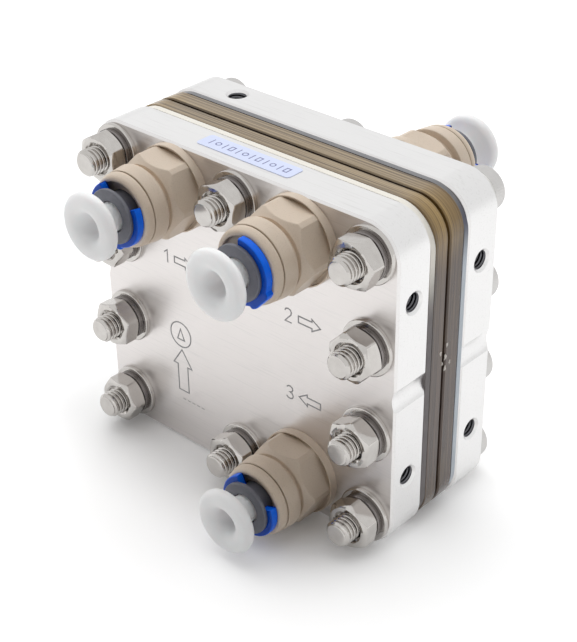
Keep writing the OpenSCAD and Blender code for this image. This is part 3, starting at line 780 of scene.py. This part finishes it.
def fitting_body_mesh(hex_turn):
    """Moulded body as one height field around its axis: flange, hexagon, turned shoulder, barrel."""
    steps = (-30, -25, -20, -16, -12.5, -9.5, -7, -5, -3.5, -2.2, -1.2, -0.5,
             0, 0.5, 1.2, 2.2, 3.5, 5, 7, 9.5, 12.5, 16, 20, 25)
    angles = [math.radians(60 * corner + step) for corner in range(6) for step in steps]
    shoulder_start = CONE_END - SHOULDER_L
    slope = (HEX_CORNER_R - SHOULDER_END_R) / SHOULDER_L
    rings = []

    def ring(height, base, cone=None):
        """Round ring, or where cone is given a hexagon no wider than the cone and its cut corners."""
        points = []
        for angle in angles:
            radius = base
            if cone is not None:
                flats = soft_min(hex_radius(angle, HEX_HALF, HEX_EDGE), cone, 0.04)
                radius = max(base, min(flats, HEX_CORNER_R))
            points.append(polar(radius, angle + hex_turn, height))
        rings.append(points)

    def pocket_ring(least, depth):
        """Ring on or under the flange, sunk by depth where the hexagon's flats leave room."""
        points = []
        for angle in angles:
            flats = min(hex_radius(angle, HEX_HALF, HEX_EDGE), HEX_CORNER_R)
            share = min(max((HEX_CORNER_R - flats) / (HEX_CORNER_R - HEX_HALF), 0), 1)
            height = FLANGE_T - depth * share ** POCKET_FALL
            points.append(polar(max(least, flats), angle + hex_turn, height))
        rings.append(points)

    flange = [(SEAT_R, 1.2, 0), (SEAT_R, 0.0, 0.1), (FLANGE_R, 0.0, 0.2), (FLANGE_R, FLANGE_T, 0.16),
              (FLANGE_R - 0.25, FLANGE_T, 0)]
    barrel = [(SHOULDER_END_R - 0.01, CONE_END, 0), (NECK_R, CONE_END + 0.08, 0.02), (NECK_R, NECK_END, 0.12),
              (BARREL_R, NECK_END + 0.25, 0.2), (BARREL_R, TAPER_START, 0.3),
              (BARREL_R - BARREL_TAPER, BARREL_END, 0.16), (BARREL_R - 1.6, BARREL_END, 0.1),
              (BARREL_R - 1.9, BARREL_END - 0.5, 0)]
    for radius, height in fillet(flange, 6):
        ring(height, radius)
    pocket_ring(FLANGE_R - 0.28, 0)
    pocket_ring(FLANGE_R - 0.36, POCKET_DEPTH)
    pocket_ring(NECK_R, POCKET_DEPTH)
    ring(FLANGE_T + 0.1, NECK_R, WIDE)
    ring(shoulder_start - 0.25, NECK_R, WIDE)
    rows = 30
    for i in range(rows + 1):
        height = shoulder_start - 0.15 + (SHOULDER_L + 0.15) * i / rows
        ring(height, NECK_R, HEX_CORNER_R - max(height - shoulder_start, 0) * slope)
    for radius, height in fillet(barrel, 6):
        ring(height, radius)
    return skin(rings, cap_start=True, cap_end=True)


def cap_mesh():
    """End cap with a rounded rim and a recess around the collet."""
    mouth = COLLET_R + COLLET_GAP
    spigot = BARREL_R - 2.2
    inside = CAP_START - 2
    recess = CAP_R - 1.5
    floor = CAP_FACE - CAP_RECESS
    path = fillet([(mouth, inside, 0), (spigot, inside, 0.1), (spigot, CAP_START, 0.05),
                   (CAP_R, CAP_START, 0.15), (CAP_R, CAP_START + 0.7, 0.3), (CAP_R - 0.3, CAP_FACE - 0.4, 0.3),
                   (CAP_R - 0.75, CAP_FACE, 0.3), (recess, CAP_FACE, 0.2), (recess, floor, 0.1),
                   (mouth, floor, 0.1), (mouth, inside, 0)])
    return skin(revolve(path[:-1], 128), closed=True)


def collet_mesh():
    """Collet with its release flange."""
    inner = TUBE_R + 0.1
    under = COLLET_FLANGE_START - 0.02
    path = fillet([(inner, COLLET_START, 0), (COLLET_R, COLLET_START, 0.1), (COLLET_R, under, 0.1),
                   (COLLET_FLANGE_R, under, 0.15), (COLLET_FLANGE_R, COLLET_FACE, 0.3),
                   (inner + 0.1, COLLET_FACE, 0.5), (inner, COLLET_FACE - 1, 0), (inner, COLLET_START, 0)])
    return skin(revolve(path[:-1], 128), closed=True)


def clip_radius(angle):
    """Outer radius of the locking clip: round, with a finger tab opposite the mouth."""
    side = abs(CLIP_R * math.sin(angle))
    if math.cos(angle) < 0 and side < CLIP_TAB_W / 2 + 1:
        tab = (CLIP_R + CLIP_TAB_OUT) / max(abs(math.cos(angle)), 0.3)
        out = min(tab, CLIP_R + CLIP_TAB_OUT + 0.3) - CLIP_R
        return CLIP_R + out * smooth_step((CLIP_TAB_W / 2 - side) / 0.5)
    return CLIP_R


def clip_mesh(mouth):
    """Locking clip: a C with rounded edges and ends, and a finger tab."""
    inner = COLLET_R + COLLET_GAP
    half = math.radians(CLIP_MOUTH / 2)
    steps = 150
    ends = 5
    rings = []
    for i in range(-ends, steps + ends + 1):
        past = max(-i, i - steps, 0) / ends
        shrink = CLIP_ROUND * (1 - math.cos(math.pi / 2 * past))
        angle = half + (TAU - 2 * half) * min(max(i, 0), steps) / steps
        if past > 0:
            back = CLIP_ROUND_ANGLE * (1 - math.sin(math.pi / 2 * past))
            angle += back if i < 0 else -back
        outer = clip_radius(angle)
        low, high = inner + shrink, outer - shrink
        start, end = CLIP_START + shrink, CLIP_START + CLIP_T - shrink
        section = fillet([(low, start, 0), (high, start, 0.3), (high, end, 0.45),
                          (low, end, 0.2), (low, start, 0)])[:-1]
        rings.append([polar(r, angle + mouth, s) for r, s in section])
    return skin(rings, cap_start=True, cap_end=True)


def plug_mesh():
    """Blanking plug: stem, short flare, thick round head and a hollow with a rolled lip."""
    head_start = PLUG_END - PLUG_RIM
    flare_start = head_start - PLUG_FLARE
    rim = PLUG_RIM / 2
    shoulder = PLUG_HEAD_R - rim
    tip = (0.05, PLUG_START)
    path = [tip, (TUBE_R - 0.4, PLUG_START), (TUBE_R, PLUG_START + 0.5), (TUBE_R, flare_start)]
    for j in range(1, 11):
        a = math.pi / 2 * j / 10
        radius = TUBE_R + (shoulder - TUBE_R) * (1 - math.cos(a))
        path.append((radius, flare_start + PLUG_FLARE * math.sin(a)))
    for j in range(1, 18):
        a = -math.pi / 2 + math.pi * j / 17
        path.append((shoulder + rim * math.cos(a), head_start + rim + rim * math.sin(a)))
    lip_end = PLUG_END - PLUG_LIP_DEPTH
    for j in range(0, 13):
        a = math.pi / 2 * j / 12
        path.append((PLUG_CREST_R - PLUG_LIP_W * math.sin(a), lip_end + PLUG_LIP_DEPTH * math.cos(a)))
    path += [(2.35, lip_end - 1.3), (PLUG_BORE_R, lip_end - 2.4), (PLUG_BORE_R, PLUG_FLOOR),
             (0.05, PLUG_FLOOR - 0.2)]
    return skin(revolve(path, 128), cap_start=True, cap_end=True)


def make_fittings():
    """Four fittings, each placed on the axis of its CAD body: (shape, material, slot, smooth angle)."""
    for name, (front, hexagon, mouth) in PORTS.items():
        low, high = corners_of(f"{name}_fitting_body")
        centre = (low + high) / 2
        place = outwards(centre.x, centre.z, front)
        pieces = {
            "fitting_body": (fitting_body_mesh(math.radians(hexagon)), beige, "fitting", 24),
            "fitting_cap": (cap_mesh(), beige, "fitting", 40),
            "collet": (collet_mesh(), dark_grey, "collet", 40),
            "locking_clip": (clip_mesh(math.radians(mouth)), blue, "clip", 40),
            "plug": (plug_mesh(), white, "plug", 50),
        }
        for part, (shape, material, slot, angle) in pieces.items():
            piece = add_mesh(f"{name}_{part}_moulded", shape, material, angle, place)
            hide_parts(f"{name}_{part}")


# Threads in the tapped holes

def tapped_thread_mesh():
    """Helical ridges on the wall of a tapped hole; height 0 is the mouth, the hole runs down."""
    count = 48
    rows = 90
    rings = [circle_ring(TAP_R - 0.005, -TAP_LEAD_IN, count)]
    for i in range(rows + 1):
        height = -TAP_LEAD_IN - TAP_CUT * i / rows
        ring = []
        for k in range(count):
            phase = (height / TAP_PITCH - k / count) % 1.0
            ridge = 0.5 - 0.5 * math.cos(TAU * phase)
            ring.append(polar(TAP_R - 0.01 - TAP_RIDGE * ridge, TAU * k / count, height))
        rings.append(ring)
    return skin(rings)


def make_tapped_threads():
    """Threads of the eight side holes and the one hole in the rear plate's top."""
    shape = tapped_thread_mesh()
    mid_front = (front_low.y + front_high.y) / 2
    mid_rear = (rear_low.y + rear_high.y) / 2
    middle_z = (front_low.z + front_high.z) / 2
    number = 0
    for side in (-1, 1):
        for y in (mid_front, mid_rear):
            for up in (-1, 1):
                number += 1
                turn = Matrix.Rotation(math.radians(90 * side), 4, "Y")
                z = middle_z + up * SIDE_HOLE_REACH * MM
                place = Matrix.Translation((side * PLATE_SIDE, y, z)) @ turn
                add_mesh(f"side_hole_thread_{number}", shape, hole_shade_metal, 50, place)
    place = Matrix.Translation((TOP_HOLE_X * MM, mid_rear, PLATE_TOP))
    add_mesh("top_hole_thread", shape, hole_shade_metal, 50, place)


# Marks on the front plate and the label's print, as thin ribbons: generic shapes and numbers

MARK_W = 0.3
MARK_T = 0.03
FAINT_W = 0.22
PRINT_W = 0.24
PRINT_T = 0.015
PRINT_SIGNS = 12
PRINT_MARGIN = 2.5
# Numbers as strokes in a field one unit high
DIGITS = {
    "1": [[(0.2, 0.75), (0.5, 1.0), (0.5, 0.0)]],
    "2": [[(0.02, 0.78), (0.12, 0.94), (0.3, 1.0), (0.48, 0.95), (0.58, 0.78), (0.54, 0.58), (0.02, 0.0),
           (0.6, 0.0)]],
    "3": [[(0.03, 0.85), (0.16, 0.97), (0.33, 1.0), (0.5, 0.92), (0.56, 0.76), (0.48, 0.6), (0.28, 0.53),
           (0.5, 0.46), (0.6, 0.27), (0.52, 0.08), (0.32, 0.0), (0.14, 0.02), (0.0, 0.15)]],
}
# Glue beads on the frames' right side: y, z, size
GLUE_SPECKS = ((-1.3, 43.0, 0.55), (0.4, 41.4, 0.7), (0.4, 38.6, 0.6), (1.9, 39.5, 0.45), (0.8, 44.2, 0.5),
               (-0.6, 40.2, 0.4))
GLUE_PROFILE = ((1.0, 0.0), (0.93, 0.05), (0.7, 0.10), (0.4, 0.13), (0.08, 0.14))
GLUE_WIDTH = 0.6
FRAME_SIDE = 42.3


def ribbon_rings(points, width, thickness, closed):
    """Cross-sections of a flat ribbon along a polyline, with mitred corners."""
    rings = []
    count = len(points)
    for i, point in enumerate(points):
        here = Vector(point)
        before = Vector(points[i - 1]) if closed or i > 0 else None
        after = Vector(points[(i + 1) % count]) if closed or i < count - 1 else None
        into = (here - before).normalized() if before is not None else (after - here).normalized()
        out_of = (after - here).normalized() if after is not None else into
        side = Vector((-into.y - out_of.y, into.x + out_of.x)).normalized()
        reach = width / 2 / max(side.dot(Vector((-into.y, into.x))), 0.5)
        left, right = here + side * reach, here - side * reach
        rings.append([(left.x, left.y, 0.0), (right.x, right.y, 0.0), (right.x, right.y, thickness),
                      (left.x, left.y, thickness)])
    return rings


def strokes_mesh(strokes, width=MARK_W, thickness=MARK_T):
    """One mesh of several ribbons; each stroke is (points, closed)."""
    verts, faces = [], []
    for points, closed in strokes:
        rings = ribbon_rings(points, width, thickness, closed)
        part_verts, part_faces = skin(rings, closed, not closed, not closed)
        offset = len(verts)
        verts += part_verts
        faces += [tuple(offset + k for k in face) for face in part_faces]
    return verts, faces


def round_outline(x, z, radius, count=48):
    """Points of a circle."""
    return [(x + u, z + v) for u, v, height in circle_ring(radius, 0, count)]


def block_arrow(x, z, length, width, turn=0):
    """Outlined arrow that starts at (x, z) and points to the turn's direction."""
    shaft, head = width * 0.27, length * 0.62
    corners = [(0, -shaft), (head, -shaft), (head, -width / 2), (length, 0)]
    corners += [(u, -v) for u, v in reversed(corners[:-1])]
    c, s = math.cos(math.radians(turn)), math.sin(math.radians(turn))
    return [(x + u * c - v * s, z + u * s + v * c) for u, v in corners]


def digit(number, x, z, height):
    """Strokes of a number whose lower left corner is at (x, z)."""
    return [([(x + u * height, z + v * height) for u, v in line], False) for line in DIGITS[number]]


def make_marks():
    """Numbered arrows at the ports, a ring with a triangle over an arrow, and a dashed line.

    Places are (x, z) on the plate's face.
    """
    ring = [(round_outline(-19.0, 29.2, 3.2), True), ([(-20.1, 27.9), (-17.9, 27.9), (-19.0, 30.7)], True)]
    arrow = [(block_arrow(-18.9, 13.9, 11.3, 5.8, 90), True)]
    rows = {
        "polarity_mark": ring, "up_arrow_mark": arrow,
        "port_mark_1": digit("1", -23.4, 46.9, 3.2) + [(block_arrow(-19.6, 48.5, 5.4, 2.9), True)],
        "port_mark_2": digit("2", 13.0, 46.1, 3.2) + [(block_arrow(16.8, 47.8, 6.0, 2.9), True)],
        "port_mark_3": digit("3", 13.2, 26.9, 3.2) + [(block_arrow(22.8, 28.5, 6.0, 2.9, 180), True)],
    }
    for name, strokes in rows.items():
        add_mesh(name, strokes_mesh(strokes), engraving, 30, outwards(0, 0))
    dashes = [([(-19.4 + 1.5 * k, 11.6), (-18.5 + 1.5 * k, 11.6)], False) for k in range(5)]
    add_mesh("foot_mark", strokes_mesh(dashes, FAINT_W), faint_mark, 30, outwards(0, 0))


def make_glue_specks():
    """Beads of dried glue on the frames' side, each with an outline of its own."""
    count = 28
    upright = Matrix.Rotation(math.radians(90), 4, "Y") @ Matrix.Rotation(math.radians(90), 4, "Z")
    for i, (y, z, size) in enumerate(GLUE_SPECKS):
        rings = []
        for share, height in GLUE_PROFILE:
            ring = []
            for k in range(count):
                angle = TAU * k / count
                wobble = 1 + 0.22 * math.sin(3 * angle + 1.7 * i) + 0.12 * math.sin(5 * angle + i)
                across, along, lift = polar(size * share * wobble, angle, height)
                ring.append((GLUE_WIDTH * across, along, lift))
            rings.append(ring)
        place = Matrix.Translation(((FRAME_SIDE - 0.01) * MM, y * MM, z * MM)) @ upright
        add_mesh(f"glue_speck_{i + 1}", skin(rings, cap_start=True, cap_end=True), glue, 60, place)


def make_label_print():
    """Plain bars, rings and boxes where the label's number would be."""
    low, high = (corner / MM for corner in corners_of("paper_label"))
    middle = (low.y + high.y) / 2
    strokes = []
    step = (high.x - low.x - 2 * PRINT_MARGIN) / (PRINT_SIGNS - 1)
    for k in range(PRINT_SIGNS):
        x = low.x + PRINT_MARGIN + step * k
        if k % 4 == 1:
            strokes.append((round_outline(x, middle, 0.62, 20), True))
        elif k % 4 == 3:
            low_y, high_y = middle - 0.8, middle + 0.8
            box = [(x - 0.5, high_y), (x + 0.5, high_y), (x + 0.5, low_y), (x - 0.5, low_y)]
            strokes.append((box, True))
        else:
            strokes.append(([(x, middle - 1.1), (x, middle + 1.1)], False))
    place = Matrix.Translation((0, 0, high.z * MM))
    add_mesh("label_print", strokes_mesh(strokes, PRINT_W, PRINT_T), label_ink, 30, place)


make_bolts()
make_nuts_and_washers()
make_fittings()
make_tapped_threads()
make_marks()
make_glue_specks()
make_label_print()


# Studio: floor, world and camera, in metres

FLOOR_HALF = 3.0
FLOOR_COLOUR = (0.94, 0.94, 0.94, 1)
FLOOR_ROUGHNESS = 0.8
FLOOR_SPECULAR = 0.2
# The floor adds a little white for the background's rays, less within GLOW_REACH of a box around the foot: the
# dip is a painted shadow round the foot
GLOW_NEAR = 0.05
GLOW_FAR = 0.25
GLOW_REACH = 0.0270
GLOW_CENTRE = (-0.0112, -0.0010, 0)
GLOW_HALF = (0.0345, 0.0180, 0)
WHITE = (1, 1, 1, 1)
BACKDROP_LEVEL = 1.0
# Soft lamps of the sky: azimuth from +X towards +Y, elevation, level; all as wide as LOBE_SHARPNESS gives
LOBE_SHARPNESS = 8.0
SKY_LOBES = ((45, 12, 0.34), (90, 12, 0.36), (180, 12, 0.84), (225, 12, 0.20), (52, 36, 0.74),
             (112, 50, 1.15), (157, 50, 1.27), (202, 50, 0.50), (0, 90, 1.65))


def background_rays(tree):
    """1 for the rays that show the white background: those of the camera, of mirrors and of glass."""
    seen = tree.nodes.new("ShaderNodeLightPath")
    mask = seen.outputs["Is Camera Ray"]
    for kind in ("Is Glossy Ray", "Is Transmission Ray"):
        either = tree.nodes.new("ShaderNodeMath")
        either.operation = "MAXIMUM"
        tree.links.new(mask, either.inputs[0])
        tree.links.new(seen.outputs[kind], either.inputs[1])
        mask = either.outputs["Value"]
    return mask


def make_floor():
    """White table that keeps the object's soft shadow, with a painted shadow round the foot."""
    mesh = bpy.data.meshes.new("floor")
    corners = [(x * FLOOR_HALF, y * FLOOR_HALF, 0) for x, y in ((-1, -1), (1, -1), (1, 1), (-1, 1))]
    mesh.from_pydata(corners, [], [(0, 1, 2, 3)])
    material = bpy.data.materials.new("floor_white")
    material.use_nodes = True
    tree = material.node_tree
    shader = tree.nodes["Principled BSDF"]
    shader.inputs["Base Color"].default_value = FLOOR_COLOUR
    shader.inputs["Roughness"].default_value = FLOOR_ROUGHNESS
    shader.inputs["Specular IOR Level"].default_value = FLOOR_SPECULAR
    value = tree.nodes.new("ShaderNodeTexCoord").outputs["Object"]
    steps = (("SUBTRACT", GLOW_CENTRE), ("ABSOLUTE", None), ("SUBTRACT", GLOW_HALF), ("MAXIMUM", (0, 0, 0)),
             ("MULTIPLY", (1, 1, 0)), ("LENGTH", None))
    for operation, amount in steps:
        step = tree.nodes.new("ShaderNodeVectorMath")
        step.operation = operation
        if amount is not None:
            step.inputs[1].default_value = amount
        tree.links.new(value, step.inputs[0])
        value = step.outputs["Value" if operation == "LENGTH" else "Vector"]
    rise = tree.nodes.new("ShaderNodeMapRange")
    rise.interpolation_type = "SMOOTHSTEP"
    rise.inputs["From Max"].default_value = GLOW_REACH
    rise.inputs["To Min"].default_value = GLOW_NEAR
    rise.inputs["To Max"].default_value = GLOW_FAR
    tree.links.new(value, rise.inputs["Value"])
    level = tree.nodes.new("ShaderNodeMath")
    level.operation = "MULTIPLY"
    tree.links.new(rise.outputs["Result"], level.inputs[0])
    tree.links.new(background_rays(tree), level.inputs[1])
    glow = tree.nodes.new("ShaderNodeEmission")
    tree.links.new(level.outputs["Value"], glow.inputs["Strength"])
    add = tree.nodes.new("ShaderNodeAddShader")
    tree.links.new(shader.outputs["BSDF"], add.inputs[0])
    tree.links.new(glow.outputs["Emission"], add.inputs[1])
    tree.links.new(add.outputs["Shader"], tree.nodes["Material Output"].inputs["Surface"])
    mesh.materials.append(material)
    floor = bpy.data.objects.new("floor", mesh)
    bpy.context.collection.objects.link(floor)


def make_world():
    """Studio light: smooth lobes over the sky for diffuse rays, plain white for the background's rays."""
    world = bpy.data.worlds.new("studio")
    bpy.context.scene.world = world
    world.use_nodes = True
    tree = world.node_tree
    back = tree.nodes["Background"]
    coords = tree.nodes.new("ShaderNodeTexCoord")
    total = None
    for azimuth, elevation, level in SKY_LOBES:
        a, e = math.radians(azimuth), math.radians(elevation)
        towards = tree.nodes.new("ShaderNodeVectorMath")
        towards.operation = "DOT_PRODUCT"
        towards.inputs[1].default_value = (math.cos(e) * math.cos(a), math.cos(e) * math.sin(a), math.sin(e))
        tree.links.new(coords.outputs["Generated"], towards.inputs[0])
        narrow = tree.nodes.new("ShaderNodeMath")
        narrow.operation = "MULTIPLY_ADD"
        narrow.inputs[1].default_value = LOBE_SHARPNESS
        narrow.inputs[2].default_value = -LOBE_SHARPNESS
        tree.links.new(towards.outputs["Value"], narrow.inputs[0])
        lobe = tree.nodes.new("ShaderNodeMath")
        lobe.operation = "EXPONENT"
        tree.links.new(narrow.outputs["Value"], lobe.inputs[0])
        added = tree.nodes.new("ShaderNodeMath")
        added.operation = "MULTIPLY_ADD"
        added.inputs[1].default_value = level
        added.inputs[2].default_value = 0.0
        tree.links.new(lobe.outputs["Value"], added.inputs[0])
        if total is not None:
            tree.links.new(total, added.inputs[2])
        total = added.outputs["Value"]
    tree.links.new(total, back.inputs["Strength"])
    back.inputs["Color"].default_value = WHITE
    plain = tree.nodes.new("ShaderNodeBackground")
    plain.inputs["Color"].default_value = WHITE
    plain.inputs["Strength"].default_value = BACKDROP_LEVEL
    mix = tree.nodes.new("ShaderNodeMixShader")
    tree.links.new(background_rays(tree), mix.inputs["Fac"])
    tree.links.new(back.outputs["Background"], mix.inputs[1])
    tree.links.new(plain.outputs["Background"], mix.inputs[2])
    tree.links.new(mix.outputs["Shader"], tree.nodes["World Output"].inputs["Surface"])


def make_camera():
    """Camera at the place, turn and focal length that were fitted to the photograph."""
    data = bpy.data.cameras.new("camera")
    data.sensor_fit = "HORIZONTAL"
    data.sensor_width = SENSOR_W
    data.lens = FOCAL_PX * SENSOR_W / IMAGE_W
    data.clip_start = CLIP_NEAR
    camera = bpy.data.objects.new("camera", data)
    right = CAMERA_RIGHT.normalized()
    up = -CAMERA_DOWN.normalized()
    back = right.cross(up)
    turn = Matrix((right, up, back)).transposed().to_4x4()
    camera.matrix_world = Matrix.Translation(CAMERA_AT) @ turn
    bpy.context.collection.objects.link(camera)
    bpy.context.scene.camera = camera


make_floor()
make_world()
make_camera()
bpy.context.scene.view_settings.view_transform = "Standard"
